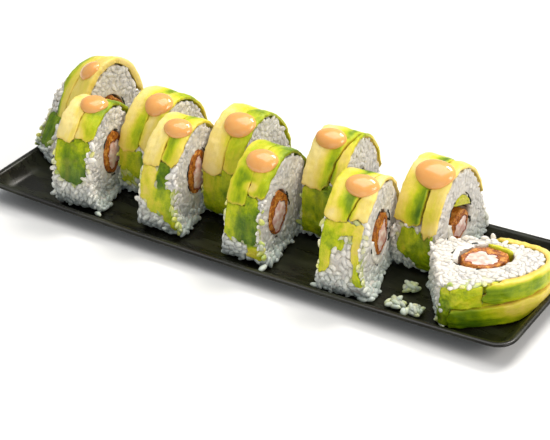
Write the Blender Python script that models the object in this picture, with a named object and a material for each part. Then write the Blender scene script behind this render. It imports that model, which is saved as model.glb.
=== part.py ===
"""Uramaki rolls: ten slices of a rice roll, with avocado and drops of sauce, on a long black plate.

Metres, +Z up. X runs along the plate, Y towards its back edge, and the origin lies under the
middle of the plate, on the surface that it stands on.
"""
import math
import random
from collections import namedtuple

import bmesh
import bpy
from mathutils import Matrix, Vector

MM = 0.001
GAP = 0.0004

# Plate: a long rectangle with a sloped rim that rises towards both ends
PLATE_LENGTH = 0.300
PLATE_WIDTH = 0.100
PLATE_CORNER = 0.010
INNER_CORNER = 0.0015
PLATE_FLOOR = 0.004
RIM_HEIGHT = 0.0086
END_RISE = 0.0028
FOOT_INSET = 0.016
CORNER_STEPS = 4
LONG_STEPS = 7
SHORT_STEPS = 3
# Outer side as (distance in from the edge, distance under the rim's top)
LIP_PROFILE = ((2.0 * MM, 1.9 * MM), (0.3 * MM, 1.5 * MM), (0.0, 0.9 * MM), (0.4 * MM, 0.3 * MM), (1.3 * MM, 0.0))
# Inner slope as (distance in from the edge, share of the rim's height over the floor)
INNER_SLOPE = ((3.0 * MM, 1.0), (6.4 * MM, 0.42), (9.4 * MM, 0.10), (12.4 * MM, 0.0))
RIM_REACH = PLATE_LENGTH / 2 - 4.0 * MM

# Section of a slice: a rounded arch that narrows upwards, cut flat at its foot
ARCH_POWER = 1.0
FOOT_POWER = 0.62
ARCH_TAPER = 0.14
ARCH_CUT = 0.06
SIDES = 30
SIDE_TURN = 360.0 / SIDES
GRAIN_BUMP = 2.0 * MM
SPREAD_TOP = 15.0 * MM
BULGE_TOP = 48.0 * MM
EDGE_ROUND = 1.2 * MM
SHOULDER = 2.6 * MM
FACE_SHARES = (0.34, 0.68)
HOLE_SINK = 0.8 * MM
# Where the loose rice at the foot begins across the front, and how its reach fades upwards
SPREAD_FROM = 0.4
SPREAD_POWER = 0.7
BULGE_POWER = 0.5
TOE_POWER = 0.6
TOE_RIGHT = 0.6

# Strips of avocado over the rice, two to a slice with a slot between them
STRIP_THICK = 3.6 * MM
STRIP_EDGE = 1.1 * MM
STRIP_SIDE = 0.3
STRIP_TAIL = 0.45
SLOT = 1.5 * MM
SLOT_RICE = 0.5 * MM

# Hole for the filling, and the pieces in it: middle (across, up) and half sizes
HOLE_MIDDLE = Vector((0.0, 24.0 * MM))
HOLE_SMALL = Vector((9.2 * MM, 12.2 * MM))
PRAWN_BUMP = 0.7 * MM
PRAWN_SIDES = 10
CHEESE_THICK = 2.6 * MM
CHEESE_STEPS = 7
STICK_STEPS = 6
FILLING_SINK = 0.5 * MM
# The slices whose filling shows more than prawn: the hole's half sizes in millimetres, the arc of its wall
# that cheese covers, the arc that the avocado stick fills, and the room left of, below, right of and above
# the prawn in millimetres
Filling = namedtuple("Filling", "hole cheese stick room")
FILLINGS = {
    8: Filling((11.0, 14.0), (172.0, 284.0), None, (3.4, 3.4, 1.6, 1.6)),
    9: Filling((11.0, 14.0), (172.0, 284.0), (24.0, 126.0), (3.4, 3.4, 1.6, 9.0)),
    10: Filling((11.0, 15.0), (190.0, 278.0), (92.0, 160.0), (3.4, 3.4, 0.8, 3.0)),
}

# Drops of sauce
DROP_HEIGHT = 4.0 * MM
DROP_SIDES = 10
DROP_CLEAR = 0.9 * MM
DROP_UNDER = (0.55, 1.0)
DROP_OVER = (0.97, 0.72, 0.34)

# Standing slices: middle on the plate, turn in degrees, height, width and thickness, in millimetres
STANDING = {
    1: (-128.2, 19.5, -17.0, 57.0, 46.0, 23.0),
    2: (-100.5, -17.0, 4.0, 52.2, 50.0, 21.5),
    3: (-76.0, 9.8, -4.0, 51.6, 50.0, 22.5),
    4: (-50.0, -15.0, 2.0, 52.6, 50.0, 20.0),
    5: (-27.0, 13.2, -3.0, 52.8, 50.5, 22.0),
    6: (2.5, -17.5, 0.0, 51.7, 50.0, 20.5),
    7: (25.0, 18.6, 2.0, 52.8, 46.5, 22.0),
    8: (56.0, -20.0, 6.0, 52.6, 51.0, 22.0),
    9: (80.0, 18.0, -3.0, 51.8, 48.5, 23.5),
}
# The tenth slice lies on its cut face: its middle, the way its top points, and the same three sizes
LYING = {
    10: (121.8, -7.3, 39.0, 57.5, 44.0, 22.5),
}
# How far a slice departs from the plain arch, in millimetres. lean takes its top to the back, droop
# lowers its top at the left end and skew lets its foot down at the back. The rice stands out by spread at
# the right of the foot's front, by bulge at the left, by heel behind the foot and by toe before it. margin
# is bare rice left of the strips, and aside and above move the filling
FORM_FIELDS = "lean droop skew spread bulge heel toe margin aside above"
Form = namedtuple("Form", FORM_FIELDS, defaults=(0.0,) * 10)
FORMS = {
    1: Form(lean=6.5, droop=8.0, bulge=4.0, toe=11.0, margin=3.5),
    2: Form(spread=5.0, above=1.0),
    3: Form(heel=1.0, above=-2.0),
    4: Form(lean=4.0, spread=5.0, above=2.0),
    5: Form(heel=1.0, above=-3.0),
    6: Form(lean=5.0, spread=5.0, aside=-6.0, above=-1.5),
    7: Form(heel=1.5, aside=-1.0, above=-2.5),
    8: Form(lean=5.0, spread=6.0, above=-1.0),
    9: Form(heel=9.0, above=-2.0),
    10: Form(skew=2.0, aside=-4.5, above=0.5),
}
# First and last degree of each slice's two strips, from the back's middle over the top to the front
STRIP_ARCS = {
    1: ((0, 180), (12, 168)),
    2: ((0, 192), (0, 192)),
    3: ((-12, 180), (12, 180)),
    4: ((0, 180), (0, 192)),
    5: ((0, 180), (-12, 180)),
    6: ((12, 204), (0, 204)),
    7: ((0, 168), (0, 168)),
    8: ((0, 156), (12, 168)),
    9: ((0, 180), (0, 180)),
    10: ((-36, 156), (0, 168)),
}
# Drops of sauce: distance along the slice in millimetres, degrees round the arch, width in millimetres
DROPS = {
    1: (4.5, 121.0, 13.0),
    2: (2.5, 97.0, 15.0),
    3: (4.0, 112.0, 15.5),
    4: (2.4, 109.0, 15.5),
    5: (2.6, 116.0, 17.5),
    6: (1.2, 115.0, 17.0),
    7: (-2.5, 109.0, 16.5),
    8: (2.5, 108.0, 17.0),
    9: (1.6, 113.0, 20.5),
}
# Loose rice on the plate: middle, number of grains, and the seed of its random draw
LOOSE = {
    1: (0.0955, -0.0365, 6, 11),
    2: (0.0850, -0.0345, 6, 12),
    3: (0.0850, -0.0190, 4, 13),
}
GRAIN_LENGTH = 6.6 * MM
GRAIN_WIDTH = 3.0 * MM
HEAP_RADIUS = 2.3 * MM
# Height of the grains' middles over the plate, as a share of their width: the top one and the others
HEAP_TOP = 0.75
HEAP_SIDE = 0.55

SMOOTH_ANGLE = math.radians(50)

# Colour and roughness of each kind of piece
FINISHES = {
    "plate": ((0.012, 0.012, 0.011), 0.28),
    "rice": ((0.78, 0.78, 0.73), 0.45),
    "avocado": ((0.62, 0.62, 0.10), 0.42),
    "prawn": ((0.48, 0.16, 0.04), 0.50),
    "cream_cheese": ((0.86, 0.83, 0.74), 0.40),
    "avocado_stick": ((0.55, 0.60, 0.10), 0.42),
    "sauce": ((0.85, 0.46, 0.19), 0.18),
}


Slice = namedtuple("Slice", "place height width thickness hole form")


def clear_scene():
    for thing in list(bpy.data.objects):
        bpy.data.objects.remove(thing, do_unlink=True)


def finish(kind):
    """Material of one kind of piece, made once."""
    if kind in bpy.data.materials:
        return bpy.data.materials[kind]
    colour, roughness = FINISHES[kind]
    material = bpy.data.materials.new(kind)
    material.use_nodes = True
    shader = material.node_tree.nodes["Principled BSDF"]
    shader.inputs["Base Color"].default_value = (*colour, 1.0)
    shader.inputs["Roughness"].default_value = roughness
    shader.inputs["Metallic"].default_value = 0.0
    return material


def add_object(name, mesh, kind, place, collection):
    """Object of a closed mesh, with its normals outward and its own material."""
    shape = bmesh.new()
    shape.from_mesh(mesh)
    bmesh.ops.recalc_face_normals(shape, faces=shape.faces)
    shape.to_mesh(mesh)
    shape.free()
    mesh.materials.append(finish(kind))
    mesh.shade_smooth()
    mesh.set_sharp_from_angle(angle=SMOOTH_ANGLE)
    thing = bpy.data.objects.new(name, mesh)
    thing.matrix_world = place
    collection.objects.link(thing)
    return thing


def loft(name, rings, closed):
    """Mesh through rings of equal length: a closed loop of rings, or a row of them with both ends capped."""
    shape = bmesh.new()
    rows = [[shape.verts.new(point) for point in ring] for ring in rings]
    following = rows[1:] + rows[:1] if closed else rows[1:]
    for row, after in zip(rows, following):
        count = len(row)
        for index in range(count):
            other = (index + 1) % count
            shape.faces.new((row[index], row[other], after[other], after[index]))
    if not closed:
        shape.faces.new(rows[0])
        shape.faces.new(rows[-1])
    bmesh.ops.triangulate(shape, faces=shape.faces)
    mesh = bpy.data.meshes.new(name)
    shape.to_mesh(mesh)
    shape.free()
    return mesh


def signed_power(value, power):
    return math.copysign(abs(value) ** power, value)


def blend(first, second, share):
    return first + (second - first) * share


def edge_inset(x, y):
    """Distance of a plan point in from the plate's rounded outline."""
    past_x = abs(x) - (PLATE_LENGTH / 2 - PLATE_CORNER)
    past_y = abs(y) - (PLATE_WIDTH / 2 - PLATE_CORNER)
    outside = math.hypot(max(past_x, 0.0), max(past_y, 0.0))
    return PLATE_CORNER - outside - min(max(past_x, past_y), 0.0)


def rim_top(x):
    return RIM_HEIGHT + END_RISE * (2 * x / PLATE_LENGTH) ** 2


def plate_top(x, y):
    """Height of the plate's upper side at a plan point."""
    inset = edge_inset(x, y)
    share = 1.0 if inset < INNER_SLOPE[0][0] else 0.0
    for (near, high), (far, low) in zip(INNER_SLOPE, INNER_SLOPE[1:]):
        if near <= inset < far:
            share = blend(high, low, (inset - near) / (far - near))
    return blend(PLATE_FLOOR, rim_top(x), share)


def plate_outline(inset):
    """Rounded rectangle at a distance in from the plate's edge, counterclockwise."""
    half_x = PLATE_LENGTH / 2 - inset
    half_y = PLATE_WIDTH / 2 - inset
    radius = max(PLATE_CORNER - inset, INNER_CORNER)
    corners = ((1, -1, -90), (1, 1, 0), (-1, 1, 90), (-1, -1, 180))
    arcs = []
    for side_x, side_y, start in corners:
        middle = Vector((side_x * (half_x - radius), side_y * (half_y - radius)))
        arc = []
        for step in range(CORNER_STEPS + 1):
            turn = math.radians(start + 90.0 * step / CORNER_STEPS)
            arc.append(middle + radius * Vector((math.cos(turn), math.sin(turn))))
        arcs.append(arc)
    outline = []
    for index, arc in enumerate(arcs):
        after = arcs[(index + 1) % len(arcs)]
        outline += arc
        steps = SHORT_STEPS if index % 2 == 0 else LONG_STEPS
        for step in range(1, steps):
            outline.append(blend(arc[-1], after[0], step / steps))
    return outline


def make_plate(collection):
    rings = [[Vector((*point, 0.0)) for point in plate_outline(FOOT_INSET)]]
    for inset, drop in LIP_PROFILE:
        rings.append([Vector((*point, rim_top(point.x) - drop)) for point in plate_outline(inset)])
    for inset, share in INNER_SLOPE:
        ring = plate_outline(inset)
        rings.append([Vector((*point, blend(PLATE_FLOOR, rim_top(point.x), share))) for point in ring])
    add_object("plate", loft("plate", rings, False), "plate", Matrix.Identity(4), collection)


def arch_point(degrees, cut):
    """Outline of a slice, across and up, counterclockwise from the middle of its back."""
    cosine = math.cos(math.radians(degrees))
    sine = math.sin(math.radians(degrees))
    power = ARCH_POWER if sine > 0 else FOOT_POWER
    full = cut.height / (1 - ARCH_CUT)
    across = cut.width / 2 * signed_power(cosine, power) * (1 - ARCH_TAPER * sine)
    up = max(full * (0.5 + 0.5 * signed_power(sine, power) - ARCH_CUT), 0.0)
    share = up / cut.height
    down = cut.form.skew * MM * (1 - share) * across / (cut.width / 2)
    return Vector((across + cut.form.lean * MM * share, up - down))


def arch_offset(degrees, cut, lift):
    """Point of the outline moved outwards by lift."""
    along = (arch_point(degrees + 2, cut) - arch_point(degrees - 2, cut)).normalized()
    return arch_point(degrees, cut) + lift * Vector((along.y, -along.x))


def hole_point(degrees, cut, inwards=0.0):
    """Outline of the hole for the filling."""
    turn = math.radians(degrees)
    size = cut.hole - Vector((inwards, inwards))
    middle = hole_middle(cut)
    return middle + Vector((size.x * math.cos(turn), size.y * math.sin(turn)))


def hole_middle(cut):
    """Middle of the filling, which follows the slice's lean."""
    middle = HOLE_MIDDLE + Vector((cut.form.aside, cut.form.above)) * MM
    return middle + Vector((cut.form.lean * MM * middle.y / cut.height, 0.0))


def slice_point(along, spot, cut):
    """Point of a slice in its own axes, lowered towards its left end where its top droops."""
    share = 0.5 - along / cut.thickness
    down = cut.form.droop * MM * share * spot.y / cut.height
    return Vector((along, spot.x, spot.y - down))


def standing_place(x, y, turn):
    spot = Vector((x * MM, y * MM, PLATE_FLOOR + GAP))
    return Matrix.Translation(spot) @ Matrix.Rotation(math.radians(turn), 4, "Z")


def lying_place(x, y, turn, height, thickness):
    """A slice's own X points up, and its top points along turn."""
    top = Vector((math.cos(math.radians(turn)), math.sin(math.radians(turn)), 0.0))
    upward = Vector((0.0, 0.0, 1.0))
    axes = Matrix((upward, top.cross(upward), top)).transposed().to_4x4()
    spot = Vector((x * MM, y * MM, PLATE_FLOOR + GAP + thickness / 2)) - top * height / 2
    return Matrix.Translation(spot) @ axes


def lift_off_plate(point, place):
    """The point itself, or straight above it where it would be in the plate, inside the rim."""
    spot = place @ point
    spot.x = max(spot.x, -RIM_REACH)
    spot.z = max(spot.z, plate_top(spot.x, spot.y) + GAP)
    return place.inverted() @ spot


def under_strip(degrees, arc):
    return arc[0] <= degrees <= arc[1] or arc[0] <= degrees - 360 <= arc[1]


def rice_spread(along, spot, cut):
    """How far the rice stands out along the slice: loose at the foot's front, bulging at the roll's end."""
    front = min(max(SPREAD_FROM - spot.x / (cut.width / 2), 0.0), 1.0)
    low = max(1 - spot.y / SPREAD_TOP, 0.0)
    if along > 0:
        return cut.form.spread * MM * front * low ** SPREAD_POWER
    share = min(max(1 - spot.y / BULGE_TOP, 0.0), 1.0)
    return cut.form.bulge * MM * share ** BULGE_POWER


def rice_foot(along, spot, cut):
    """How far the rice stands out across the slice, most at the foot: behind it, or before it if negative."""
    low = max(1 - spot.y / (cut.height / 2), 0.0)
    if spot.x > 0:
        return cut.form.heel * MM * low
    share = 1.0 if along < 0 else TOE_RIGHT
    return -cut.form.toe * MM * share * low ** TOE_POWER


def make_rice(number, cut, collection):
    """Ring of rice round the filling, let in under the strips, with bumps the size of its grains."""
    draw = random.Random(number)
    arcs = STRIP_ARCS[number]
    margin = cut.form.margin * MM
    end = cut.thickness / 2
    shoulder = end - SHOULDER
    first, second = FACE_SHARES
    inner = end - HOLE_SINK
    # Stations round the section: place along the slice, share of the way in to the hole, and rounding
    stations = [(-end, 0.0, EDGE_ROUND), (-shoulder, 0.0, 0.0), (-SLOT_RICE, 0.0, 0.0)]
    stations += [(SLOT_RICE, 0.0, 0.0), (shoulder, 0.0, 0.0), (end, 0.0, EDGE_ROUND)]
    stations += [(end, first, 0.0), (end, second, 0.0), (inner, 1.0, 0.0)]
    stations += [(-inner, 1.0, 0.0), (-end, second, 0.0), (-end, first, 0.0)]
    rings = []
    for side in range(SIDES):
        degrees = side * SIDE_TURN
        ring = []
        for along, share, rounding in stations:
            covered = under_strip(degrees, arcs[0] if along < 0 else arcs[1])
            covered = covered and not (margin and along < -shoulder)
            bump = draw.uniform(0.0, GRAIN_BUMP)
            sunk = STRIP_THICK + GAP if covered else 0.0
            outer = arch_offset(degrees, cut, -sunk - rounding - (bump if share == 0 else 0.0))
            if not covered:
                outer.x += rice_foot(along, outer, cut)
            spot = blend(outer, hole_point(degrees, cut), share)
            inward = bump if 0 < share < 1 else 0.0
            outward = rice_spread(along, spot, cut) if abs(along) > shoulder and share < 1 else 0.0
            reach = math.copysign(abs(along) - inward + outward, along)
            ring.append(lift_off_plate(slice_point(reach, spot, cut), cut.place))
        rings.append(ring)
    name = f"rice_{number:02d}"
    add_object(name, loft(name, rings, True), "rice", cut.place, collection)


def make_strip(number, cut, side, collection):
    """One strip of avocado bent over the rice, thin at both ends."""
    first, last = STRIP_ARCS[number][side]
    low = SLOT / 2
    high = cut.thickness / 2
    if side == 0:
        low, high = cut.form.margin * MM - high, -low
    # Section of the strip: place along the slice, and depth as a share of its thickness
    section = [(low, 1.0), (high, 1.0), (high, STRIP_SIDE), (high - STRIP_EDGE, 0.0)]
    section += [(low + STRIP_EDGE, 0.0), (low, STRIP_SIDE)]
    rings = []
    steps = round((last - first) / SIDE_TURN)
    for step in range(steps + 1):
        degrees = first + step * SIDE_TURN
        thin = STRIP_TAIL if step in (0, steps) else 0.0
        ring = []
        for along, depth in section:
            spot = arch_offset(degrees, cut, -STRIP_THICK * max(depth, thin))
            ring.append(lift_off_plate(slice_point(along, spot, cut), cut.place))
        rings.append(ring)
    name = f"avocado_{'left' if side == 0 else 'right'}_{number:02d}"
    add_object(name, loft(name, rings, False), "avocado", cut.place, collection)


def make_rod(name, kind, outline, cut, collection, bump=0.0, seed=0):
    """Piece of the filling that runs through the slice, its sides a little uneven."""
    draw = random.Random(seed)
    reach = cut.thickness / 2 - FILLING_SINK
    middle = sum(outline, Vector((0.0, 0.0))) / len(outline)
    rings = []
    for share in (-1.0, 0.0, 1.0) if bump else (-1.0, 1.0):
        ring = []
        for point in outline:
            pull = draw.uniform(0.0, bump)
            spot = point + (middle - point).normalized() * pull
            ring.append(slice_point(share * reach, spot, cut))
        rings.append(ring)
    add_object(name, loft(name, rings, False), kind, cut.place, collection)


def hole_arc(arc, cut, inwards, steps):
    """Points along the hole's wall, a little in from it."""
    return [hole_point(blend(arc[0], arc[1], step / steps), cut, inwards) for step in range(steps + 1)]


def make_filling(number, cut, collection):
    """Prawn, with the cream cheese and the stick of avocado beside it where the cut shows them."""
    left = bottom = right = top = GAP
    if number in FILLINGS:
        filling = FILLINGS[number]
        left, bottom, right, top = (side * MM for side in filling.room)
        outline = hole_arc(filling.cheese, cut, GAP, CHEESE_STEPS)
        outline += reversed(hole_arc(filling.cheese, cut, CHEESE_THICK, CHEESE_STEPS))
        make_rod(f"cream_cheese_{number:02d}", "cream_cheese", outline, cut, collection)
        if filling.stick:
            outline = hole_arc(filling.stick, cut, GAP, STICK_STEPS)
            make_rod(f"avocado_stick_{number:02d}", "avocado_stick", outline, cut, collection)
    middle = hole_middle(cut) + Vector((left - right, bottom - top)) / 2
    size = cut.hole - Vector((left + right, bottom + top)) / 2
    outline = []
    for side in range(PRAWN_SIDES):
        turn = 2 * math.pi * side / PRAWN_SIDES
        outline.append(middle + Vector((size.x * math.cos(turn), size.y * math.sin(turn))))
    name = f"prawn_{number:02d}"
    make_rod(name, "prawn", outline, cut, collection, PRAWN_BUMP, number)


def make_drop(number, cut, collection):
    """Dome of sauce that follows the arch under it."""
    along, degrees, wide = DROPS[number]
    radius = wide * MM / 2
    turn_per_metre = 4.0 / (arch_point(degrees + 2, cut) - arch_point(degrees - 2, cut)).length

    def spot(share, turn, lift):
        x = along * MM + radius * share * math.cos(turn)
        bend = degrees + radius * share * math.sin(turn) * turn_per_metre
        return slice_point(x, arch_offset(bend, cut, lift), cut)

    turns = [2 * math.pi * side / DROP_SIDES for side in range(DROP_SIDES)]
    rings = [[spot(share, turn, DROP_CLEAR) for turn in turns] for share in DROP_UNDER]
    for share in DROP_OVER:
        lift = DROP_CLEAR + (DROP_HEIGHT - DROP_CLEAR) * math.sqrt(1 - share ** 2)
        rings.append([spot(share, turn, lift) for turn in turns])
    name = f"sauce_{number:02d}"
    add_object(name, loft(name, rings, False), "sauce", cut.place, collection)


def make_loose_rice(number, collection):
    """A few grains in a low heap, joined into one body."""
    x, y, count, seed = LOOSE[number]
    draw = random.Random(seed)
    grains = bpy.data.collections.new(f"grains_{number}")
    bpy.context.scene.collection.children.link(grains)
    name = f"loose_rice_{number}"
    base = None
    for index in range(count):
        shape = bmesh.new()
        bmesh.ops.create_icosphere(shape, subdivisions=1, radius=0.5)
        around = 2 * math.pi * index / count
        reach = 0.0 if index == 0 else HEAP_RADIUS
        lift = HEAP_TOP if index == 0 else HEAP_SIDE
        spot = Vector((x + reach * math.cos(around), y + reach * math.sin(around), 0.0))
        spot.z = plate_top(spot.x, spot.y) + GAP + GRAIN_WIDTH * lift
        size = Matrix.Diagonal((GRAIN_LENGTH, GRAIN_WIDTH, GRAIN_WIDTH, 1.0))
        turn = Matrix.Rotation(draw.uniform(0, math.pi), 4, "Z")
        bmesh.ops.transform(shape, matrix=Matrix.Translation(spot) @ turn @ size, verts=shape.verts)
        mesh = bpy.data.meshes.new(name)
        shape.to_mesh(mesh)
        shape.free()
        if base is None:
            base = add_object(name, mesh, "rice", Matrix.Identity(4), collection)
        else:
            grains.objects.link(bpy.data.objects.new(f"grain_{number}_{index}", mesh))
    union = base.modifiers.new("Join grains", "BOOLEAN")
    union.operation = "UNION"
    union.operand_type = "COLLECTION"
    union.collection = grains
    union.solver = "EXACT"
    joined = bpy.data.meshes.new_from_object(base.evaluated_get(bpy.context.evaluated_depsgraph_get()))
    base.modifiers.clear()
    base.data = joined
    for grain in list(grains.objects):
        bpy.data.objects.remove(grain, do_unlink=True)
    bpy.data.collections.remove(grains)


def all_slices():
    """Each slice's place, sizes in metres, hole for the filling, and form."""
    slices = {}
    for number, (x, y, turn, height, width, thickness) in {**STANDING, **LYING}.items():
        sizes = [size * MM for size in (height, width, thickness)]
        place = standing_place(x, y, turn)
        if number in LYING:
            place = lying_place(x, y, turn, sizes[0], sizes[2])
        hole = Vector(FILLINGS[number].hole) * MM if number in FILLINGS else HOLE_SMALL
        slices[number] = Slice(place, *sizes, hole, FORMS[number])
    return slices


def main():
    clear_scene()
    collection = bpy.data.collections.new("Uramaki on a plate")
    bpy.context.scene.collection.children.link(collection)
    make_plate(collection)
    for number, cut in all_slices().items():
        make_rice(number, cut, collection)
        make_strip(number, cut, 0, collection)
        make_strip(number, cut, 1, collection)
        make_filling(number, cut, collection)
        if number in DROPS:
            make_drop(number, cut, collection)
    for number in LOOSE:
        make_loose_rice(number, collection)


main()
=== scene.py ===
"""Looks of the uramaki roll: rice grain by grain, avocado, fried prawn, nori, sauce and the black plate."""

import math
import random
from collections import namedtuple

import bmesh
import bpy
import numpy as np
from mathutils import Matrix, Vector, noise


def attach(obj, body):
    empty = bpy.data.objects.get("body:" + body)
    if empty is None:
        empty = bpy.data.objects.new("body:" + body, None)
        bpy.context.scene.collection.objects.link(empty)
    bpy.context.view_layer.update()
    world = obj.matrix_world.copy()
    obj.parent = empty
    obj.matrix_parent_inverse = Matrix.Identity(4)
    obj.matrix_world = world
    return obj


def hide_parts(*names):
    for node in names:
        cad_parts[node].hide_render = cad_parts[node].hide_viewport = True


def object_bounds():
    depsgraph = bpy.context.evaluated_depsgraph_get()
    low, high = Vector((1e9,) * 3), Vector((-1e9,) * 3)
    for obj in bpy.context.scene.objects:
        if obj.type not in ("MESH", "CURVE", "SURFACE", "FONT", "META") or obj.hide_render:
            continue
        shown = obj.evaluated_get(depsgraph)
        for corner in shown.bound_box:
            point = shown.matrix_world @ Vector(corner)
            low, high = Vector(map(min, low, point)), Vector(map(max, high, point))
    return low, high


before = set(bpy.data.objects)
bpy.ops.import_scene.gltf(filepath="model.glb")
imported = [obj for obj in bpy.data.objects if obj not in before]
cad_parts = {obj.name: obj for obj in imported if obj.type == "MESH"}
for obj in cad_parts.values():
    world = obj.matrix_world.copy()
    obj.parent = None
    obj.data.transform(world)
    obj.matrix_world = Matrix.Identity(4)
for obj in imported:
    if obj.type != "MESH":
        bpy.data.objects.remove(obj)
cad_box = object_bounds()

MM = 0.001
GAP = 0.0004
WELD = 0.00001

# Plate, as the solid has it
PLATE_LENGTH = 0.300
PLATE_WIDTH = 0.100
PLATE_CORNER = 0.010
INNER_CORNER = 0.0015
PLATE_FLOOR = 0.004
RIM_HEIGHT = 0.0086
END_RISE = 0.0028
RIM_REACH = PLATE_LENGTH / 2 - 4.0 * MM
# Profile from the foot over the lip to the floor: distance in from the edge in millimetres,
# share of the rim's height over the floor, or -1 on the plate's foot, and distance under that
# in millimetres. The third row is the bend of the underside, halfway up to the lip
PLATE_PROFILE = (
    (16.0, -1.0, 0.0), (15.6, -1.0, -0.1), (9.0, 0.0, -0.8), (2.0, 1.0, 1.9), (1.1, 1.0, 1.7),
    (0.3, 1.0, 1.5), (0.05, 1.0, 1.2), (0.0, 1.0, 0.9), (0.1, 1.0, 0.6), (0.4, 1.0, 0.3),
    (0.8, 1.0, 0.08), (1.3, 1.0, 0.0), (2.2, 1.0, 0.0), (3.0, 0.98, 0.0), (3.6, 0.89, 0.0),
    (4.6, 0.70, 0.0), (6.4, 0.42, 0.0), (7.9, 0.24, 0.0), (9.4, 0.10, 0.0), (11.0, 0.03, 0.0),
    (12.4, 0.0, 0.0), (20.0, 0.0, 0.0), (34.0, 0.0, 0.0), (46.0, 0.0, 0.0),
)
PLATE_COLUMNS = 240
UNDERSIDE_BEND = 2
LIP_DEPTH = 1.9 * MM
SLOPE_FROM = 2.2

# Section of a slice, as the solid has it
ARCH_POWER = 1.0
FOOT_POWER = 0.62
ARCH_TAPER = 0.14
ARCH_CUT = 0.06
SPREAD_TOP = 15.0 * MM
BULGE_TOP = 48.0 * MM
SPREAD_FROM = 0.4
SPREAD_POWER = 0.7
BULGE_POWER = 0.5
TOE_POWER = 0.6
TOE_RIGHT = 0.6
# Millimetres round the outside of a slice for each degree, near enough for the size of its relief
ROUND = 0.45
STRIP_THICK = 3.6 * MM
STRIP_RIM = 1.5 * MM
HOLE_MIDDLE = Vector((0.0, 24.0 * MM))
HOLE_SMALL = Vector((9.2 * MM, 12.2 * MM))
CHEESE_THICK = 2.6 * MM
# The slices whose filling shows more than prawn: the hole's half sizes in millimetres, the arc of its wall
# that cheese covers, the arc that the avocado stick fills, and the room left of, below, right of and above
# the prawn in millimetres
Filling = namedtuple("Filling", "hole cheese stick room")
FILLINGS = {
    8: Filling((11.0, 14.0), (172.0, 284.0), None, (3.4, 3.4, 1.6, 1.6)),
    9: Filling((11.0, 14.0), (172.0, 284.0), (24.0, 126.0), (3.4, 3.4, 1.6, 9.0)),
    10: Filling((11.0, 15.0), (190.0, 278.0), (92.0, 160.0), (3.4, 3.4, 0.8, 3.0)),
}
DROP_HEIGHT = 3.4 * MM
DROP_CLEAR = 0.2 * MM
# Each drop's reach down the slice as a share of its reach along it
DROP_SHORT = {1: 0.95, 2: 0.88, 3: 0.94, 4: 0.78, 5: 0.84, 6: 0.80, 7: 0.74, 8: 0.77, 9: 0.80}

# Standing slices: middle on the plate, turn in degrees, height, width and thickness, in millimetres
STANDING = {
    1: (-128.2, 19.5, -17.0, 57.0, 46.0, 23.0),
    2: (-100.5, -17.0, 4.0, 52.2, 50.0, 21.5),
    3: (-76.0, 9.8, -4.0, 51.6, 50.0, 22.5),
    4: (-50.0, -15.0, 2.0, 52.6, 50.0, 20.0),
    5: (-27.0, 13.2, -3.0, 52.8, 50.5, 22.0),
    6: (2.5, -17.5, 0.0, 51.7, 50.0, 20.5),
    7: (25.0, 18.6, 2.0, 52.8, 46.5, 22.0),
    8: (56.0, -20.0, 6.0, 52.6, 51.0, 22.0),
    9: (80.0, 18.0, -3.0, 51.8, 48.5, 23.5),
}
# The tenth slice lies on its cut face: its middle, the way its top points, and the same three sizes
LYING = {
    10: (121.8, -7.3, 39.0, 57.5, 44.0, 22.5),
}
# What is uneven in each form, in millimetres: how far the top leans, the left end droops and the foot
# slants, the loose rice's spread, the bulge of the roll's end, the heel and toe of the foot, bare rice
# left of the left strip's foot, and the filling's shift across and up
FORM_FIELDS = "lean droop skew spread bulge heel toe margin aside above".split()
Form = namedtuple("Form", FORM_FIELDS, defaults=(0.0,) * len(FORM_FIELDS))
FORMS = {
    1: Form(lean=6.5, droop=8.0, bulge=4.0, toe=11.0, margin=3.5),
    2: Form(spread=5.0, above=1.0),
    3: Form(heel=1.0, above=-2.0),
    4: Form(lean=4.0, spread=5.0, above=2.0),
    5: Form(heel=1.0, above=-3.0),
    6: Form(lean=5.0, spread=5.0, aside=-6.0, above=-1.5),
    7: Form(heel=1.5, aside=-1.0, above=-2.5),
    8: Form(lean=5.0, spread=6.0, above=-1.0),
    9: Form(heel=9.0, above=-2.0),
    10: Form(skew=2.0, aside=-4.5, above=0.5),
}
# Drops of sauce: distance along the slice in millimetres, degrees round the arch, width in millimetres
DROPS = {
    1: (4.5, 121.0, 13.0),
    2: (2.5, 97.0, 15.0),
    3: (4.0, 112.0, 15.5),
    4: (2.4, 109.0, 15.5),
    5: (2.6, 116.0, 17.5),
    6: (1.2, 115.0, 17.0),
    7: (-2.5, 109.0, 16.5),
    8: (2.5, 108.0, 17.0),
    9: (1.6, 113.0, 20.5),
}

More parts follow.
